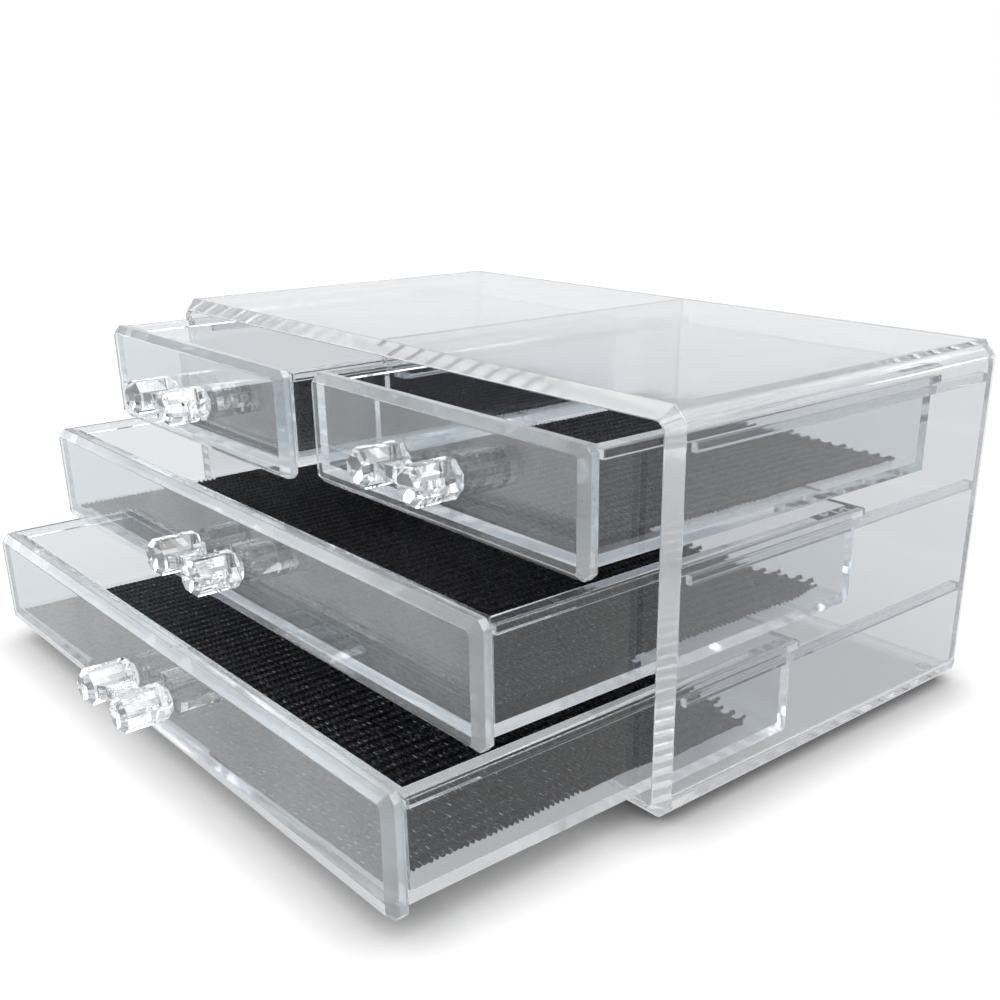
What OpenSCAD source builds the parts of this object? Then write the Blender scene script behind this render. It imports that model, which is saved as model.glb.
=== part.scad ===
// Clear cosmetics organizer: a bevelled case with three tiers and four sliding drawers.
// The top tier holds two half-width drawers, the middle and bottom tiers one wide drawer each.
// Every drawer hangs by the side flanges of its tray on runner strips, so there are no shelves.
// Bonded pieces meet face to face.
// Frame: X to the right, Y to the back, Z up. The origin lies in the plane that the feet
// rest on, at the middle of the width and of the depth from the foremost handle to the back
// of the case. All sizes are in millimetres.

/* [Case] */
// Outside width of the case
case_w = 240; // [200:1:320]
// Outside depth of the case
case_d = 135; // [120:1:180]
// Outside height of the case, without its feet
case_h = 105; // [98:1:126]
// Thickness of the case's walls
wall = 3.8; // [3.5:0.1:4.5]
// Depth of the 45 degree bevel round the front and back ends of the case
end_bevel = 3.4; // [1:0.1:3.4]
// Depth of the 45 degree chamfer along the four long edges of the case
long_chamfer = 4; // [1:0.5:5]
// Radius of the case's inner corners
inner_corner_r = 3; // [1:0.5:4]

/* [Back panel] */
// Thickness of the back panel
back_t = 2.4; // [2:0.1:4]
// How far the back panel is set in from the back end of the case
back_inset = 2; // [0.5:0.1:4]
// How much rounder the back panel's corners are than the case's inner corners
back_corner_ease = 0.5; // [0.2:0.1:1]

/* [Feet] */
// Diameter of a foot where it meets the case
foot_d = 5; // [3:0.5:8]
// Height of a foot
foot_h = 1.2; // [0.8:0.1:3]
// How much narrower a foot is at its bottom
foot_taper = 1; // [0.2:0.1:2]
// Distance of a foot's centre from the side of the case
foot_in_x = 10.5; // [8:0.5:30]
// Distance of a foot's centre from the front or back of the case
foot_in_y = 7; // [7:0.5:30]

/* [Drawer fronts] */
// Thickness of a drawer's front plate
front_t = 4.6; // [4:0.1:6]
// Depth of the 45 degree bevel round a front plate
front_bevel = 2.2; // [1:0.1:3]
// Depth of the clipped corners of a front plate
front_corner = 2; // [1:0.1:4]
// Gap between the fronts of two tiers
front_gap = 0.6; // [0.4:0.1:1.5]
// Gap under the bottom front
low_gap = 0.5; // [0.4:0.1:1.5]
// Gap over the top fronts
high_gap = 2.1; // [0.6:0.1:3]
// Gap between a front and the side of the case
side_gap = 1.8; // [0.6:0.1:3]
// Gap between the two top fronts
centre_gap = 5.2; // [1:0.1:8]
// How far a shut front stands behind the case's front end
shut_inset = 0.3; // [0:0.1:2]

/* [Drawer trays] */
// Thickness of a tray's walls
tray_wall = 2.2; // [1.6:0.1:3]
// Thickness of a tray's floor
tray_floor = 2.2; // [1.6:0.1:3]
// How far the tray's rim is below the top of its front
rim_drop = 1; // [0.5:0.1:3]
// How far the tray's underside is above the bottom of its front
tray_lift = 3; // [1:0.1:6]
// Thickness of the flange along each side of the rim
flange_t = 2.2; // [1.5:0.1:3]
// Gap between the back of a shut tray and the back panel
tray_back_gap = 0.6; // [0.4:0.1:3]

/* [Runners] */
// How far a runner stands out from the wall that it is bonded to
runner_w = 2.6; // [2:0.1:4]
// Height of a runner
runner_t = 2.2; // [1.5:0.1:3]
// Running gap beside a tray and beside its flanges
running_side = 0.6; // [0.4:0.1:1]
// Running gap under a flange
running_under = 0.3; // [0.2:0.05:0.6]
// How far the front end of a runner is behind the case's front end
runner_setback = 9; // [7:0.5:20]
// Radius of the free front corner of a runner
runner_round = 2; // [0.5:0.1:2]

/* [Top divider] */
// Thickness of the divider between the two top drawers
divider_t = 2.4; // [1.8:0.1:3]
// How far the divider's front edge is behind the case's front end
divider_setback = 5.6; // [5.4:0.1:12]
// Radius of the divider's lower front corner
divider_r = 3; // [1:0.5:6]

/* [Handles] */
// Size across the flats of an eight-sided knob
knob_w = 9.6; // [7:0.1:13]
// Length of a knob
knob_len = 14.5; // [10:0.5:20]
// Bevel on each end of a knob
knob_bevel = 1.4; // [0.5:0.1:2]
// Distance between the two knobs of a handle
knob_spacing = 21.5; // [16:0.5:30]
// Thickness of the bar that joins the knobs
bar_t = 4; // [2:0.1:6]
// Depth of the bar from front to back where it meets the knobs
bar_d = 10; // [7:0.1:10]
// How far each long edge of the bar is hollowed towards its middle
bar_waist = 2.2; // [1:0.1:3]

/* [Liners] */
// Thickness of a mesh liner
liner_t = 0.8; // [0.5:0.1:2]
// Bare margin of the tray's floor round a liner
liner_margin = 2.6; // [1:0.1:8]

/* [Drawers as drawn out] */
// How far the bottom drawer's front stands before the case
open_bottom = 76; // [0:1:90]
// How far the middle drawer's front stands before the case
open_middle = 52; // [0:1:90]
// How far the top left drawer's front stands before the case
open_top_left = 28.5; // [0:0.5:90]
// How far the top right drawer's front stands before the case
open_top_right = 22; // [0:0.5:90]

/* [Hidden] */

$fn = 64;
// How far a cut runs past the faces that it opens
cut_past = 1;
left = -1;
right = 1;
front = -1;
back = 1;

// Depth over everything, and the Y of the case's front end, its mouth
reach_out = max(open_bottom, open_middle, open_top_left, open_top_right) + knob_len;
mouth_y = (reach_out - case_d) / 2;
case_back_y = mouth_y + case_d;

// Inside of the case
inner_x = case_w / 2 - wall;
inner_h = case_h - 2 * wall;
floor_z = foot_h + wall;
ceiling_z = floor_z + inner_h;
panel_y = case_back_y - back_inset - back_t;

// Tiers: one front and the gap over it make one step
front_h = (inner_h - low_gap - high_gap - 2 * front_gap) / 3;
tier_step = front_h + front_gap;

// Heights above the bottom of a drawer's front
tray_h = front_h - rim_drop - tray_lift;
rim_z = tray_lift + tray_h;
runner_z = rim_z - flange_t - running_under - runner_t;
liner_z = tray_lift + tray_floor;

// Drawer lengths, with the tray starting at the back of its front plate
shut_y = mouth_y + shut_inset;
tray_len = panel_y - tray_back_gap - shut_y - front_t;

// Walls that trays run between: the case's side, and the divider's side
side_x = inner_x;
divider_x = divider_t / 2;

// A drawer is [tier, x of its left wall, x of its right wall, front's left x, front's right x, opening]
wide_front = inner_x - side_gap;
bottom = [0, -side_x, side_x, -wide_front, wide_front, open_bottom];
middle = [1, -side_x, side_x, -wide_front, wide_front, open_middle];
top_left = [2, -side_x, -divider_x, -wide_front, -centre_gap / 2, open_top_left];
top_right = [2, divider_x, side_x, centre_gap / 2, wide_front, open_top_right];

// Height of the bottom of a tier's fronts
function tier_z(tier) = floor_z + low_gap + tier * tier_step;
// Foremost Y of a drawer as drawn out
function drawer_y(drawer) = mouth_y - drawer[5];
// Outer sides of a tray's box, inside its runners
function tray_left(drawer) = drawer[1] + runner_w + running_side;
function tray_right(drawer) = drawer[2] - runner_w - running_side;
// Middle of a drawer's front
function front_x(drawer) = (drawer[3] + drawer[4]) / 2;
// Radius of an arc over a chord of half length a that is s deep
function arc_radius(a, s) = (a * a + s * s) / (2 * s);

// A bar along Z that is centred on X, starts at Y = 0 and has 45 degree bevels at both ends of Y
module bevelled_bar(span, depth, near_bevel, far_bevel) {
    half = span / 2;
    length = 2 * (case_w + case_h);
    translate([0, 0, -length / 2])
        linear_extrude(length)
            polygon([
                [near_bevel - half, 0], [half - near_bevel, 0],
                [half, near_bevel], [half, depth - far_bevel],
                [half - far_bevel, depth], [far_bevel - half, depth],
                [-half, depth - far_bevel], [-half, near_bevel]
            ]);
}

// A block with clipped corners, seen from the front, whose ends are bevelled all the way round
module bevelled_block(width, height, depth, near_bevel, far_bevel, corner) {
    diagonal = (width + height - 2 * corner) / sqrt(2);
    sides = [[width, 0], [height, 90], [diagonal, 45], [diagonal, -45]];
    intersection_for (side = sides)
        rotate([0, side[1], 0])
            bevelled_bar(side[0], depth, near_bevel, far_bevel);
}

// A rectangle centred on the origin with round corners
module rounded_rectangle(width, height, radius) {
    square([width - 2 * radius, height], center = true);
    square([width, height - 2 * radius], center = true);
    for (x = [-1, 1], z = [-1, 1])
        translate([x * (width / 2 - radius), z * (height / 2 - radius)])
            circle(radius);
}

// The one-piece outer shell: top, underside and both sides, open at the front and the back
module case_sleeve() {
    color("aliceblue", 0.35)
        translate([0, mouth_y, foot_h + case_h / 2])
            difference() {
                bevelled_block(case_w, case_h, case_d, end_bevel, end_bevel, long_chamfer);
                translate([0, case_d + cut_past, 0])
                    rotate([90, 0, 0])
                        linear_extrude(case_d + 2 * cut_past)
                            rounded_rectangle(2 * inner_x, inner_h, inner_corner_r);
            }
}

// The plate bonded inside the back end of the sleeve
module back_panel() {
    color("aliceblue", 0.35)
        translate([0, panel_y + back_t, floor_z + inner_h / 2])
            rotate([90, 0, 0])
                linear_extrude(back_t)
                    rounded_rectangle(2 * inner_x, inner_h, inner_corner_r + back_corner_ease);
}

// The upright plate between the two top drawers, bonded to the ceiling and the back panel
module top_divider() {
    low_z = tier_z(2);
    front_y = mouth_y + divider_setback;
    color("aliceblue", 0.35)
        translate([divider_t / 2, 0, 0])
            rotate([0, -90, 0])
                linear_extrude(divider_t)
                    difference() {
                        translate([low_z, front_y])
                            square([ceiling_z - low_z, panel_y - front_y]);
                        translate([low_z, front_y])
                            difference() {
                                square(divider_r);
                                translate([divider_r, divider_r])
                                    circle(divider_r);
                            }
                    }
}

// A strip that a tray's flange slides on. It is bonded to the wall at wall_x and stands out
// towards direction, and its free front corner is rounded.
module runner(tier, wall_x, direction) {
    start_y = mouth_y + runner_setback;
    color("aliceblue", 0.35)
        translate([wall_x, start_y, tier_z(tier) + runner_z])
            scale([direction, 1, 1])
                linear_extrude(runner_t)
                    difference() {
                        square([runner_w, panel_y - start_y]);
                        translate([runner_w - runner_round, 0])
                            difference() {
                                square(runner_round);
                                translate([0, runner_round])
                                    circle(runner_round);
                            }
                    }
}

// A small clear stud under a corner of the case
module foot(side, end) {
    foot_y = mouth_y + case_d / 2 + end * (case_d / 2 - foot_in_y);
    color("aliceblue", 0.35)
        translate([side * (case_w / 2 - foot_in_x), foot_y, 0])
            cylinder(h = foot_h, d1 = foot_d - foot_taper, d2 = foot_d);
}

// The open box of a drawer, with a flange along the top of each side
module tray(drawer) {
    x0 = tray_left(drawer);
    x1 = tray_right(drawer);
    y0 = drawer_y(drawer) + front_t;
    color("aliceblue", 0.35)
        translate([0, y0, tier_z(drawer[0]) + tray_lift])
            difference() {
                union() {
                    translate([x0, 0, 0])
                        cube([x1 - x0, tray_len, tray_h]);
                    translate([x0 - runner_w, 0, tray_h - flange_t])
                        cube([x1 - x0 + 2 * runner_w, tray_len, flange_t]);
                }
                translate([x0 + tray_wall, tray_wall, tray_floor])
                    cube([x1 - x0 - 2 * tray_wall, tray_len - 2 * tray_wall, tray_h]);
            }
}

// The thick bevelled plate bonded to the front of a tray
module front_plate(drawer) {
    color("aliceblue", 0.35)
        translate([front_x(drawer), drawer_y(drawer), tier_z(drawer[0]) + front_h / 2])
            bevelled_block(drawer[4] - drawer[3], front_h, front_t, front_bevel, 0, front_corner);
}

// A moulded handle: two eight-sided knobs joined by a flat bar with hollowed edges
module handle(drawer) {
    clipped = knob_w / (2 + sqrt(2));
    between = (knob_spacing - knob_w) / 2;
    hollow_r = arc_radius(between, bar_waist);
    bar_y = (knob_len - bar_d) / 2;
    color("aliceblue", 0.35)
        translate([front_x(drawer), drawer_y(drawer) - knob_len, tier_z(drawer[0]) + front_h / 2]) {
            for (side = [left, right])
                translate([side * knob_spacing / 2, 0, 0])
                    bevelled_block(knob_w, knob_w, knob_len, knob_bevel, knob_bevel, clipped);
            translate([0, bar_y, -bar_t / 2])
                linear_extrude(bar_t)
                    difference() {
                        translate([-knob_spacing / 2, 0])
                            square([knob_spacing, bar_d]);
                        translate([0, bar_waist - hollow_r])
                            circle(hollow_r);
                        translate([0, bar_d - bar_waist + hollow_r])
                            circle(hollow_r);
                    }
        }
}

// The soft mesh sheet on a tray's floor, drawn as a plain sheet
module liner(drawer) {
    inset = tray_wall + liner_margin;
    x0 = tray_left(drawer) + inset;
    x1 = tray_right(drawer) - inset;
    color("dimgray")
        translate([x0, drawer_y(drawer) + front_t + inset, tier_z(drawer[0]) + liner_z])
            cube([x1 - x0, tray_len - 2 * inset, liner_t]);
}

case_sleeve();
back_panel();
top_divider();
runner(0, -side_x, right);  // runner_bottom_left
runner(0, side_x, left);  // runner_bottom_right
runner(1, -side_x, right);  // runner_middle_left
runner(1, side_x, left);  // runner_middle_right
runner(2, -side_x, right);  // runner_top_left
runner(2, side_x, left);  // runner_top_right
runner(2, -divider_x, left);  // divider_runner_left
runner(2, divider_x, right);  // divider_runner_right
foot(left, front);  // foot_front_left
foot(right, front);  // foot_front_right
foot(left, back);  // foot_back_left
foot(right, back);  // foot_back_right
tray(bottom);  // bottom_tray
front_plate(bottom);  // bottom_front
handle(bottom);  // bottom_handle
liner(bottom);  // bottom_liner
tray(middle);  // middle_tray
front_plate(middle);  // middle_front
handle(middle);  // middle_handle
liner(middle);  // middle_liner
tray(top_left);  // top_left_tray
front_plate(top_left);  // top_left_front
handle(top_left);  // top_left_handle
liner(top_left);  // top_left_liner
tray(top_right);  // top_right_tray
front_plate(top_right);  // top_right_front
handle(top_right);  // top_right_handle
liner(top_right);  // top_right_liner
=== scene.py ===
# %% [markdown]
# # A clear plastic drawer organizer
# The real object is a box of clear moulded plastic with four drawers that hang on runner
# strips. Its shape comes from the CAD model, which is loaded here and never moved. What is
# left for Blender is how it looks: the clear plastic with its softly rounded edges, the black
# net in each drawer, and a bright table with soft light around it.

# %% Load the model
import math
import random

import bpy
from mathutils import Euler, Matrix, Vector, noise


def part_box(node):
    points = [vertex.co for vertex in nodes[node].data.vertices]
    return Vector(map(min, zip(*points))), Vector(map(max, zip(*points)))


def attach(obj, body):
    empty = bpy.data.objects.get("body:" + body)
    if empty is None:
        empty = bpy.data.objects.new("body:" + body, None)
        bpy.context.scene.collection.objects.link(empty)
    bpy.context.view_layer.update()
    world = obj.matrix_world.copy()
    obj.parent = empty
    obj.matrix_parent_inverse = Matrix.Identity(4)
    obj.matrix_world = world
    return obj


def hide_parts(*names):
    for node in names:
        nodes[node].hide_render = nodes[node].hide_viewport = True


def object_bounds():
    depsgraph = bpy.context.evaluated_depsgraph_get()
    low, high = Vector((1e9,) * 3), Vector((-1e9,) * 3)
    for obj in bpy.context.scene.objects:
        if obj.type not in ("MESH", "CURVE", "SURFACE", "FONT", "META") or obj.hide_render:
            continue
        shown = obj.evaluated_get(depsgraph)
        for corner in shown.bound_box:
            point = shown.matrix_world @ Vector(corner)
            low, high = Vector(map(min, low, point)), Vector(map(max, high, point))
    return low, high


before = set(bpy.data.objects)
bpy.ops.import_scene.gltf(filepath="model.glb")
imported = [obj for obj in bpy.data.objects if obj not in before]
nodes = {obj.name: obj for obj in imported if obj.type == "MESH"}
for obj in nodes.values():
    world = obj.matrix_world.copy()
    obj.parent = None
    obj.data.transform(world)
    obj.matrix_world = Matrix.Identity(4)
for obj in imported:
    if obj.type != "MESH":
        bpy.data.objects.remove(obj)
cad_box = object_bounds()
MM = 0.001  # Blender works in metres, and this object is easier to describe in millimetres

# %% [markdown]
# ## Small helpers for materials
# Colours are written as the sRGB hex values that a paint program shows. Blender's shaders
# want linear light, so one function turns one into the other. Another adds a shader node,
# sets its values and plugs its inputs. The rest are short names for the nodes that come up
# most, so that each material stays a short list of what it is made of.


# %% Helpers for colours and nodes
def linear(hex_colour):
    """An sRGB colour such as "#F2F5F7" as linear red, green, blue and an alpha of 1."""
    parts = [int(hex_colour[i : i + 2], 16) / 255 for i in (1, 3, 5)]
    return [p / 12.92 if p <= 0.04045 else ((p + 0.055) / 1.055) ** 2.4 for p in parts] + [1.0]


def new_tree(owner):
    """An empty shader tree for a material or a world."""
    owner.use_nodes = True
    owner.node_tree.nodes.clear()
    return owner.node_tree


def add_node(tree, kind, inputs=(), **settings):
    """Adds a node. inputs pairs a socket with a value, or with the output that feeds it."""
    made = tree.nodes.new(kind)
    for name, value in settings.items():
        setattr(made, name, value)
    for socket, value in dict(inputs).items():
        if isinstance(value, bpy.types.NodeSocket):
            tree.links.new(value, made.inputs[socket])
        else:
            made.inputs[socket].default_value = value
    return made


def calculate(tree, operation, *values):
    """One step of arithmetic on sockets and numbers."""
    made = add_node(tree, "ShaderNodeMath", dict(enumerate(values)), operation=operation)
    return made.outputs[0]


def remap(tree, value, start, end, to_start=0.0, to_end=1.0):
    """Moves a value from one range to another, and holds it within that."""
    ranges = {"From Min": start, "From Max": end, "To Min": to_start, "To Max": to_end}
    return add_node(tree, "ShaderNodeMapRange", {"Value": value, **ranges}).outputs["Result"]


def soft_noise(tree, place, size, detail, roughness=0.5):
    """Random soft patches of about the given size, with values from 0 to 1."""
    inputs = {"Vector": place, "Scale": 1 / size, "Detail": detail, "Roughness": roughness}
    return add_node(tree, "ShaderNodeTexNoise", inputs).outputs["Fac"]


def bumpy(tree, height, distance, strength):
    """A normal that leans as if the surface rose by that distance where height is 1."""
    inputs = {"Height": height, "Strength": strength, "Distance": distance}
    return add_node(tree, "ShaderNodeBump", inputs).outputs["Normal"]


def mix_colours(tree, factor, first, second, **settings):
    """The first colour where factor is 0 and the second where it is 1."""
    inputs = {"Factor": factor, "A": first, "B": second}
    made = add_node(tree, "ShaderNodeMix", inputs, data_type="RGBA", **settings)
    return made.outputs["Result"]


# %% [markdown]
# ## The camera
# The picture was taken from the front right corner, a little above the object, with an
# ordinary lens held close. The place, the turn and the lens were found by fitting a camera to
# the object's corners in the photograph, which is more exact than turning it by eye.

# %% Camera
camera_data = bpy.data.cameras.new("camera")
camera = bpy.data.objects.new("camera", camera_data)
bpy.context.scene.collection.objects.link(camera)
camera.location = (0.29355, -0.21165, 0.16298)
camera.rotation_euler = Euler([math.radians(a) for a in (67.96, 0.22, 49.05)], "XYZ")
camera_data.sensor_width = 36
camera_data.lens = 43.26
camera_data.shift_x = -0.0398
camera_data.shift_y = 0.1103
camera_data.clip_start = 0.01
bpy.context.scene.camera = camera
object_middle = (cad_box[0] + cad_box[1]) / 2
distance = (camera.location - object_middle).length
print("camera to the middle of the object: %.3f m" % distance)

# %% [markdown]
# ## The clear plastic
# The case, the trays and the fronts are injection-moulded clear acrylic (PMMA). A polished
# steel mould leaves a face nearly as smooth as glass, and its index of refraction is 1.49.
# Four things give it away as plastic. Its faces carry the faint waves of the moulding, a few
# hundredths of a millimetre high. They aren't quite as sharp as glass, and wiping leaves
# patches duller than the rest. On the fronts and the handles lies a thin film of dust, which
# scatters a little light. And the slanted edges, where the mould was polished less, are milky.
#
# A slanted face is found by its normal: on a wall one of the three parts of the normal is 1,
# and on a slant none is. On the fronts only the two large faces are walls.

# %% Tell walls from slanted faces
WALL_FLATNESS = 0.97  # at least this much of a wall's normal lies along one axis
SLANT_FLATNESS = 0.87  # and at most this much of a slanted face's


def flatness(tree, normal, axes):
    """How squarely a face looks along one of the axes: 1 for a wall, less for a slanted face."""
    size = add_node(tree, "ShaderNodeVectorMath", {0: normal}, operation="ABSOLUTE")
    parts = add_node(tree, "ShaderNodeSeparateXYZ", {"Vector": size.outputs[0]}).outputs
    best = parts[axes[0]]
    for axis in axes[1:]:
        best = calculate(tree, "MAXIMUM", best, parts[axis])
    return best


def slanted(tree, normal, wall_axes):
    """1 on a slanted face and 0 on a wall."""
    return remap(tree, flatness(tree, normal, wall_axes), WALL_FLATNESS, SLANT_FLATNESS)


# %% [markdown]
# Dust and milkiness are on the outside alone. Inside, light runs to and fro in a wall dozens
# of times, and a hundredth lost at each turn would already make the bright edges go dull. So
# a face that is hit from within stays fully clear, and only the walls carry the faint tint.

# %% Clear acrylic
ACRYLIC_IOR = 1.49
EDGE_TINT = "#FBFCFC"
WAVE_LENGTH = 25 * MM
WAVE_HEIGHT = 0.045 * MM
WIPED_PATCH = 30 * MM
PATCH_VALUES = (0.3, 0.7)  # nearly all of the noise that makes the patches lies between these
DULLNESS = (0.5, 1.5)  # how rough the clean and the dull patches are, as shares of the mean
DUSTINESS = (0.6, 1.4)  # and how dusty


def clear_acrylic(name, tint, wall_axes, film, haze, roughness):
    """Moulded clear acrylic. Faces that look along wall_axes are walls, and the rest are edges.

    film is how much light the dust on a wall scatters, and haze how much the milky edges do.
    """
    material = bpy.data.materials.new(name)
    tree = new_tree(material)
    place = add_node(tree, "ShaderNodeTexCoord").outputs["Object"]
    shape = add_node(tree, "ShaderNodeNewGeometry").outputs
    edge = slanted(tree, shape["True Normal"], wall_axes)
    waves = soft_noise(tree, place, WAVE_LENGTH, detail=1.5)
    patches = soft_noise(tree, place, WIPED_PATCH, detail=4.0, roughness=0.6)
    roughnesses = [roughness * share for share in DULLNESS]
    clear_shares = [1 - film * share for share in DUSTINESS]
    wall_clear = remap(tree, patches, *PATCH_VALUES, *clear_shares)
    outer_clear = calculate(tree, "MULTIPLY_ADD", edge, film - haze, wall_clear)
    surface = add_node(
        tree,
        "ShaderNodeBsdfPrincipled",
        {
            "Base Color": mix_colours(tree, edge, linear(tint), linear(EDGE_TINT)),
            "Roughness": remap(tree, patches, *PATCH_VALUES, *roughnesses),
            "IOR": ACRYLIC_IOR,
            "Transmission Weight": calculate(tree, "MAXIMUM", outer_clear, shape["Backfacing"]),
            "Normal": bumpy(tree, waves, WAVE_HEIGHT, strength=1.0),
        },
    )
    add_node(tree, "ShaderNodeOutputMaterial", {"Surface": surface.outputs[0]})
    return material


case_acrylic = clear_acrylic("clear_acrylic_case", "#ECEDEF", "XYZ", 0.0, 0.18, 0.034)
tray_acrylic = clear_acrylic("clear_acrylic_tray", "#F1F4F6", "XYZ", 0.0, 0.1, 0.02)
front_acrylic = clear_acrylic("clear_acrylic_front", "#EFF3F5", "Y", 0.13, 0.26, 0.01)
handle_acrylic = clear_acrylic("clear_acrylic_handle", "#FDFEFE", "XYZ", 0.02, 0.1, 0.005)
print("plastics:", [m.name for m in (case_acrylic, tray_acrylic, front_acrylic, handle_acrylic)])

# %% [markdown]
# ## Soft edges
# No moulded edge is perfectly sharp: a mould's corner is about a quarter of a millimetre
# round. On clear plastic that small curve matters more than on anything else, because it
# bends light from all over the room into one thin bright or dark line. The CAD faces come in
# as separate flat pieces, so they are welded first, and a bevel then rounds every edge.
# Pieces that are bonded to another grow a hair, so that no slit of air is left between them.

# %% Round the edges and give each CAD node its plastic
EDGE_RADIUS = 0.25 * MM
EDGE_ANGLE = 28  # degrees; flatter edges than this stay as they are
WELD_DISTANCE = 0.001 * MM
BOND_DEPTH = 0.12 * MM
PLASTICS = {"handle": handle_acrylic, "tray": tray_acrylic, "front": front_acrylic}


def finish_plastic(obj, material, bonded):
    """Welds and rounds a CAD node. A bonded one grows a hair, so that it joins its carrier."""
    weld = obj.modifiers.new("weld", "WELD")
    weld.merge_threshold = WELD_DISTANCE
    bevel = obj.modifiers.new("edges", "BEVEL")
    bevel.width = EDGE_RADIUS
    bevel.segments = 2
    bevel.limit_method = "ANGLE"
    bevel.angle_limit = math.radians(EDGE_ANGLE)
    bevel.harden_normals = True
    if bonded:
        grow = obj.modifiers.new("bond", "DISPLACE")
        grow.strength = BOND_DEPTH
        grow.mid_level = 0.0
    for slot in obj.material_slots:
        slot.material = material


for name, obj in nodes.items():
    kind = name.split("_")[-1]
    if kind == "liner":
        continue
    plastic = PLASTICS.get(kind, case_acrylic)
    finish_plastic(obj, plastic, bonded=kind not in ("sleeve", "front"))
print("rounded nodes:", sum(bool(o.modifiers) for o in nodes.values()))

# %% [markdown]
# ## The black net
# Each drawer is lined with a loose sheet of soft black net, cut with scissors. It is a weave
# with a foam skin, with thin strands across the drawer every 1.65 mm and broader ones from
# front to back every 3.9 mm, so that only a small slot stays open in each cell. The foam's
# skin is matt, with a fine grain, and its highest grains are painted pale as glints of light.

# %% Net material
GRAIN_SIZE = 0.7 * MM
GRAIN_HEIGHT = 0.12 * MM
GLINT_GRAIN = (0.57, 0.67)  # painted glints: the highest grains of the skin are coloured pale, as highlights


def black_net():
    """Soft black foam net: matt, with a dull shine and painted pale glints on the strands."""
    material = bpy.data.materials.new("black_foam_net")
    tree = new_tree(material)
    place = add_node(tree, "ShaderNodeTexCoord").outputs["Object"]
    grain = soft_noise(tree, place, GRAIN_SIZE, detail=3.0, roughness=0.6)
    # painted glints: a pale colour on the highest grains stands in for highlights on the strands
    painted_glint = remap(tree, grain, *GLINT_GRAIN)
    surface = add_node(
        tree,
        "ShaderNodeBsdfPrincipled",
        {
            "Base Color": mix_colours(tree, painted_glint, linear("#08080C"), linear("#74758C")),
            "Roughness": 0.58,
            "IOR": 1.45,
            "Normal": bumpy(tree, grain, GRAIN_HEIGHT, strength=0.7),
        },
    )
    add_node(tree, "ShaderNodeOutputMaterial", {"Surface": surface.outputs[0]})
    return material


net_material = black_net()
print("net material:", net_material.name)

# %% [markdown]
# A net can't be a texture on a plain sheet, because one looks past its strands at a low
# angle. So each cell is modelled, as a ring of six faces round its slot, and neighbours share
# their outer corners. The lattice lies a degree askew in the tray, as a net put in by hand
# does. At the sides the scissors went through the cells, so there the ring stays open and is
# drawn back to the cut. Behind they left a comb of loose ends 2 mm wide, which curls up a
# little. The net never dips into the floor below it: black plastic within the clear floor
# would swallow the light that makes the floor's edges bright.

# %% Cells of a net
CELL_W, CELL_D = 3.9 * MM, 1.65 * MM
SLOT_W, SLOT_D = 2.0 * MM, 0.45 * MM
SLOT_W_RANGE = (0.8, 1.1)  # how far one slot's width and depth differ from the next one's
SLOT_D_RANGE = (0.5, 1.25)
OUTLINE = [(0.5, -0.5), (0.5, 0.5), (0.0, 0.5), (-0.5, 0.5), (-0.5, -0.5), (0.0, -0.5)]
SLOT = [(0.5, -0.4), (0.5, 0.4), (0.0, 0.5), (-0.5, 0.4), (-0.5, -0.4), (0.0, -0.5)]
RIGHT_SIDE, LEFT_SIDE = 0, 3  # the two of a cell's six faces that run along the drawer
RIGHT_HALF, LEFT_HALF = {1, 5}, {2, 4}  # and the four that run across it
SPARE_COLUMNS, SPARE_ROWS = 1.15, 1.1  # the lattice is larger than the net that is cut from it
SAME_POINT = 0.1 * MM

NET_SIDE_GAP = 2.2 * MM  # how far inside the liner's box the sides are cut
NET_BACK_REACH = 1.2 * MM  # and how far past it the net reaches behind, and up to the plate
NET_FRONT_REACH = 1.9 * MM
SHORTEST_END, LONGEST_END = 1, 2  # how many rows of cells a loose end of the comb is long
SHORTEST_STUB = 0.5 * MM
CUT_SLIP, CUT_WAVE = 0.5 * MM, 14 * MM  # how far the scissors went astray, and how often
CUT_FRAY = 0.2 * MM
DRIFT, DRIFT_WAVE = 0.5 * MM, 25 * MM  # the lattice is pulled out of shape a little
FUZZ, FUZZ_WAVE = 0.2 * MM, 1.3 * MM  # and its strands are uneven
CURL_HEIGHT, CURL_LENGTH = 1.4 * MM, 12 * MM
CURL_MEAN, CURL_WAVE = 0.55, 30 * MM  # the curl changes along the back edge,
CURL_SHIFT = 3.0 * MM  # and from one net to the next
NOISE_SEED = 3
noise.seed_set(NOISE_SEED)  # Blender's vector noise differs from run to run until it is seeded


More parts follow.
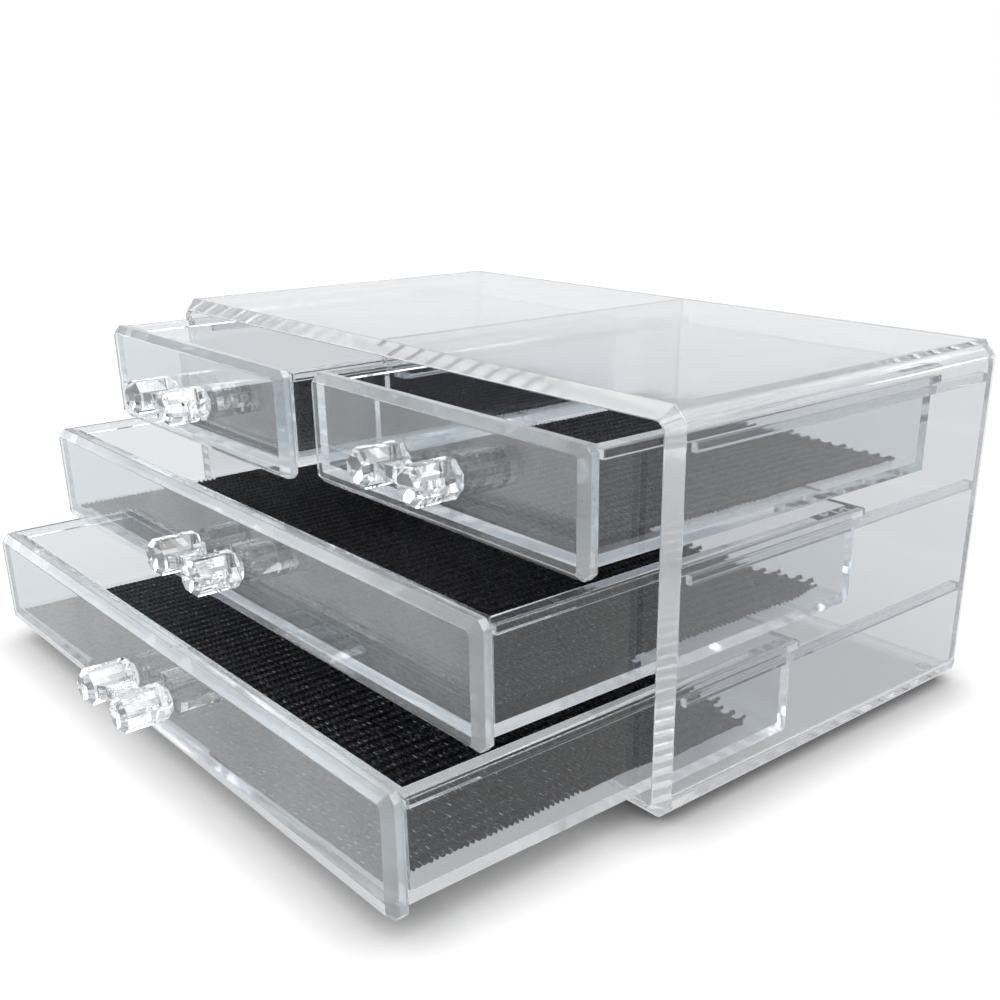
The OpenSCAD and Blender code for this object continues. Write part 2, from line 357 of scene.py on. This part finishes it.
def net_cells(low, high, turn, clip, seed):
    """The points and faces of a net that is turned a little in its tray and cut to fill it.

    clip is the width and the length of the corner that is missing at the back right. The last
    two lists say which points lie where strands cross, and which on the rim of a slot.
    """
    rng = random.Random(seed)
    middle = (low + high) / 2
    half_x, half_y = (high.x - low.x) / 2 - NET_SIDE_GAP, (high.y - low.y) / 2
    cos, sin = math.cos(turn), math.sin(turn)
    columns = int(SPARE_COLUMNS * 2 * half_x / CELL_W)
    rows = int(SPARE_ROWS * 2 * half_y / CELL_D)
    loose_ends = [rng.randint(SHORTEST_END, LONGEST_END) for i in range(columns + 1)]
    points, faces, corners, crossings, rims = [], [], {}, [], []

    def in_tray(x, y):
        """Where a point of the lattice lies once the net is turned in its tray."""
        return x * cos - y * sin, x * sin + y * cos

    def centre(i, j):
        """The middle of the cell in column i and row j of the lattice."""
        return (i - (columns - 1) / 2) * CELL_W, (j - (rows - 1) / 2) * CELL_D

    def side_cut(y):
        """How far from the middle the scissors went at this place along the net."""
        return half_x + CUT_SLIP * (noise.noise(Vector((0, y, seed)) / CUT_WAVE) - 1)

    def curl(x, y):
        """How far the net rises here, close to its back edge."""
        nearness = max(0.0, (y - half_y) / CURL_LENGTH + 1)
        amount = CURL_MEAN + noise.noise(Vector((x, CURL_SHIFT * seed, 0)) / CURL_WAVE)
        return CURL_HEIGHT * nearness * nearness * min(1.0, max(0.0, amount))

    def wobble(x, y, size, wave):
        """A smooth random shift of about the given size, which changes over one wave."""
        return noise.noise_vector(Vector((x, y, seed)) / wave) * size

    def kept(i, j):
        """Whether a cell lies within the cut, and not in the clipped corner."""
        x, y = in_tray(*centre(i, j))
        back = half_y + NET_BACK_REACH - (LONGEST_END + 0.5) * CELL_D
        beside = abs(x) - CELL_W / 2 + SHORTEST_STUB < side_cut(y)
        in_corner = (x - half_x) / clip[0] + (y - back) / clip[1] + 1 > 0
        return beside and not in_corner and -half_y - NET_FRONT_REACH < y < back

    def sides_left(i, j):
        """Which of a cell's six faces are still there after the cut."""
        if not kept(i, j):
            strands = ((RIGHT_SIDE, i + 1), (LEFT_SIDE, i))
            return {
                side
                for side, strand in strands
                if any(kept(i, j - n) for n in range(1, loose_ends[strand] + 1))
            }
        x, y = in_tray(*centre(i, j))
        room = side_cut(y) - abs(x)
        sides = set(range(len(OUTLINE)))
        if room < CELL_W / 2:
            sides -= {RIGHT_SIDE} if x > 0 else {LEFT_SIDE}
        if room < 0:
            sides -= RIGHT_HALF if x > 0 else LEFT_HALF
        return sides

    def add_point(x, y):
        """Adds a point, drawn back to the cut where it lies beyond, and gives its number."""
        px, py = in_tray(x, y)
        cut = side_cut(py) + rng.uniform(-CUT_FRAY, CUT_FRAY)
        px = min(cut, max(-cut, px))
        fuzz = wobble(x, y, FUZZ, FUZZ_WAVE)
        shift = wobble(x, y, DRIFT, DRIFT_WAVE) + fuzz
        lift = abs(fuzz.z) + curl(x, py)
        points.append((middle.x + px + shift.x, middle.y + py + shift.y, lift))
        return len(points) - 1

    def outer_corner(x, y, u, v):
        """The number of a cell's outer corner, which is added once and shared by neighbours."""
        x, y = x + u * CELL_W, y + v * CELL_D
        key = (round(x / SAME_POINT), round(y / SAME_POINT))
        if key not in corners:
            corners[key] = add_point(x, y)
            if u:
                crossings.append(corners[key])
        return corners[key]

    def add_cell(x, y, sides):
        """Adds the faces between the rim of a cell's slot and its outer corners."""
        width = SLOT_W * rng.uniform(*SLOT_W_RANGE)
        depth = SLOT_D * rng.uniform(*SLOT_D_RANGE)
        slot = [add_point(x + u * width, y + v * depth) for u, v in SLOT]
        rims.extend(slot)
        for k in sorted(sides):
            n = (k + 1) % len(OUTLINE)
            outer = outer_corner(x, y, *OUTLINE[k]), outer_corner(x, y, *OUTLINE[n])
            faces.append((*outer, slot[n], slot[k]))

    for j in range(rows):
        for i in range(columns):
            sides = sides_left(i, j)
            if sides:
                add_cell(*centre(i, j), sides)
    return points, faces, crossings, rims


# %% [markdown]
# A Solidify modifier gives the net its thickness: full where two strands cross, less along a
# strand, and least at the rim of a slot, which makes the strands round. Each net rides on its
# drawer and stands in for the plain liner of the CAD model. Its flat size is the tray's floor
# less the bare margins that show beside the net.

# %% Nets in the drawers
NET_THICK = 1.0 * MM
STRAND_SHARE = 0.8  # the thickness along a strand, as a share of that at a crossing
RIM_SHARE = 0.35
FLOOR_GAP = 0.15 * MM
SQUARE = (0.1 * MM, 0.1 * MM)
CUTS = {  # how far each net is turned, in degrees, and its clipped corner
    "bottom": (1.2, (20 * MM, 4 * MM)),
    "middle": (-0.8, SQUARE),
    "top_left": (0.9, SQUARE),
    "top_right": (-0.7, SQUARE),
}


def make_net(name, low, high, turn, clip, seed):
    """A net as an object, lying on the floor of its tray."""
    points, faces, crossings, rims = net_cells(low, high, turn, clip, seed)
    mesh = bpy.data.meshes.new(name)
    mesh.from_pydata(points, [], faces)
    mesh.shade_smooth()
    mesh.materials.append(net_material)
    net = bpy.data.objects.new(name, mesh)
    bpy.context.scene.collection.objects.link(net)
    net.location.z = low.z + FLOOR_GAP + NET_THICK / 2
    strands = net.vertex_groups.new(name="strand")
    strands.add(list(range(len(points))), STRAND_SHARE, "REPLACE")
    strands.add(crossings, 1.0, "REPLACE")
    strands.add(rims, RIM_SHARE, "REPLACE")
    thick = net.modifiers.new("thickness", "SOLIDIFY")
    thick.thickness = NET_THICK
    thick.offset = 0.0
    thick.vertex_group = strands.name
    return net


for seed, (drawer, (turn, clip)) in enumerate(CUTS.items()):
    low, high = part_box(drawer + "_liner")
    net = make_net(drawer + "_net", low, high, math.radians(turn), clip, seed)
    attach(net, "drawer_" + drawer)
    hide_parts(drawer + "_liner")

# %% [markdown]
# ## The table
# A clear object lives from what is behind it. The table is matt white, much larger than the
# object, and takes its shadow. Soft light from all sides leaves only a wide pale shadow, so a
# contact shadow is painted on as well: an occlusion node darkens the table within 16 mm of
# whatever stands on it, for the camera alone. A little glow lifts the open table to paper white
# for the camera. Light that comes through or off the plastic meets a plainer table without the
# painted shadow, just as bright as white paper, because a brighter one would wash out what is
# seen in the plastic.

# %% Table
TABLE_SIZE = 8.0
TABLE_DROP = 0.05 * MM  # the gap that keeps the feet and the table apart
TABLE_GLOW = 0.65
INNER_GLOW = 0.5
# how far from the object the painted contact shadow reaches
PAINTED_SHADOW_REACH = 16 * MM


def glowing_paint(tree, paint, glow, strength):
    """Matt paint that also gives off a little light. paint and glow are their colours."""
    matt = add_node(tree, "ShaderNodeBsdfDiffuse", {"Color": paint})
    light = add_node(tree, "ShaderNodeEmission", {"Color": glow, "Strength": strength})
    both = add_node(tree, "ShaderNodeAddShader", {0: matt.outputs[0], 1: light.outputs[0]})
    return both.outputs[0]


def table_white():
    """Matt white with its real shadow and a painted contact shadow for the camera, and plain
    white as seen in the plastic.
    """
    material = bpy.data.materials.new("matt_white_table")
    tree = new_tree(material)
    rays = add_node(tree, "ShaderNodeLightPath").outputs
    reach = {"Distance": PAINTED_SHADOW_REACH}
    # painted contact shadow: an occlusion node darkens the table's paint and glow near the
    # object, for the camera alone
    painted_contact_shadow = add_node(tree, "ShaderNodeAmbientOcclusion", reach, samples=8).outputs["Color"]
    shade = mix_colours(tree, 1.0, linear("#C7C7C7"), painted_contact_shadow, blend_type="MULTIPLY")
    direct = glowing_paint(tree, shade, painted_contact_shadow, TABLE_GLOW)
    indirect = glowing_paint(tree, linear("#B8B8B8"), linear("#FFFFFF"), INNER_GLOW)
    both = add_node(
        tree, "ShaderNodeMixShader", {0: rays["Is Camera Ray"], 1: indirect, 2: direct}
    )
    add_node(tree, "ShaderNodeOutputMaterial", {"Surface": both.outputs[0]})
    return material


half = TABLE_SIZE / 2
table_corners = [(-half, -half, 0), (half, -half, 0), (half, half, 0), (-half, half, 0)]
table_mesh = bpy.data.meshes.new("table")
table_mesh.from_pydata(table_corners, [], [(0, 1, 2, 3)])
table_mesh.materials.append(table_white())
table = bpy.data.objects.new("table", table_mesh)
table.location.z = cad_box[0].z - TABLE_DROP
bpy.context.scene.collection.objects.link(table)
print("table: %.1f m square" % TABLE_SIZE)

# %% [markdown]
# ## Light
# Clear plastic has almost no colour of its own, so its edges are drawn by what surrounds it.
# With white on all sides it would vanish. Product photographers hang white panels with dark
# gaps between them, and every bevel then picks up a bright and a dark line. The sky here does
# the same: it is white with one grey band a third of the way up, two round softboxes, one
# overhead and one to the left, and a greyer patch behind the camera. Only the plastic shows
# them, though. The camera itself sees plain white behind the object, and matt surfaces get
# plain even light, so that the softboxes draw no hard shadows on the table.

# %% Studio light
SKY = [  # heights, from 0 at the horizon to 1 overhead, and the colours there
    (0.0, "#FFFFFF"),
    (0.14, "#FFFFFF"),
    (0.26, "#E6E8EC"),
    (0.36, "#B8BBC2"),
    (0.46, "#E6E8EC"),
    (0.56, "#FFFFFF"),
    (1.0, "#FFFFFF"),
]
SOFTBOXES = [  # the way to the middle of each, its half angle, and what it adds to the sky's 1
    ((0.33, 0.4, 0.85), 16, 6.0),
    ((-0.86, -0.42, 0.3), 12, 4.0),
    ((0.72, -0.6, 0.37), 22, -0.35),
]
SOFTBOX_BLUR = 2


def by_height(tree, height, stops):
    """A colour for each height of the sky, from 0 at the horizon to 1 overhead."""
    colours = add_node(tree, "ShaderNodeValToRGB", {"Fac": height})
    ramp = colours.color_ramp
    for element, (position, colour) in zip(ramp.elements, (stops[0], stops[-1])):
        element.position, element.color = position, linear(colour)
    for position, colour in stops[1:-1]:
        ramp.elements.new(position).color = linear(colour)
    return colours.outputs["Color"]


def softbox(tree, way, centre, half_angle, level):
    """The level within a round patch of sky, fading to 0 at its blurred rim."""
    inputs = {0: way, 1: Vector(centre).normalized()}
    towards = add_node(tree, "ShaderNodeVectorMath", inputs, operation="DOT_PRODUCT")
    outside = math.cos(math.radians(half_angle + SOFTBOX_BLUR))
    inside = math.cos(math.radians(half_angle))
    return remap(tree, towards.outputs["Value"], outside, inside, 0.0, level)


def studio_world():
    """Plain white for the camera and for matt surfaces, and panels for what the plastic shows."""
    world = bpy.data.worlds.new("studio")
    tree = new_tree(world)
    rays = add_node(tree, "ShaderNodeLightPath").outputs
    way = add_node(tree, "ShaderNodeTexCoord").outputs["Generated"]
    height = add_node(tree, "ShaderNodeSeparateXYZ", {"Vector": way}).outputs["Z"]
    strength = 1.0
    for box in SOFTBOXES:
        strength = calculate(tree, "ADD", strength, softbox(tree, way, *box))
    inputs = {"Color": by_height(tree, height, SKY), "Strength": strength}
    panels = add_node(tree, "ShaderNodeBackground", inputs)
    plain = add_node(tree, "ShaderNodeBackground", {"Color": linear("#FFFFFF")})
    inputs = {0: rays["Diffuse Depth"], 1: rays["Is Camera Ray"]}
    use_plain = add_node(tree, "ShaderNodeMath", inputs, operation="ADD", use_clamp=True)
    inputs = {0: use_plain.outputs[0], 1: panels.outputs[0], 2: plain.outputs[0]}
    seen = add_node(tree, "ShaderNodeMixShader", inputs)
    add_node(tree, "ShaderNodeOutputWorld", {"Surface": seen.outputs[0]})
    world.cycles.sampling_method = "NONE"  # so that no ray mistakes one sky for the other
    return world


bpy.context.scene.world = studio_world()
print("softboxes:", len(SOFTBOXES))

# %% [markdown]
# ## Last settings
# Light crosses up to a dozen clear faces here before it reaches the table, and each face
# costs a bounce, so the limits go up. The view transform is the plain one, in which a colour
# comes out as it was written.

scene = bpy.context.scene
scene.cycles.max_bounces = 128
scene.cycles.transmission_bounces = 96
scene.cycles.glossy_bounces = 96
scene.view_settings.view_transform = "Standard"


def plain(box):
    return [[round(value, 5) for value in corner] for corner in box]
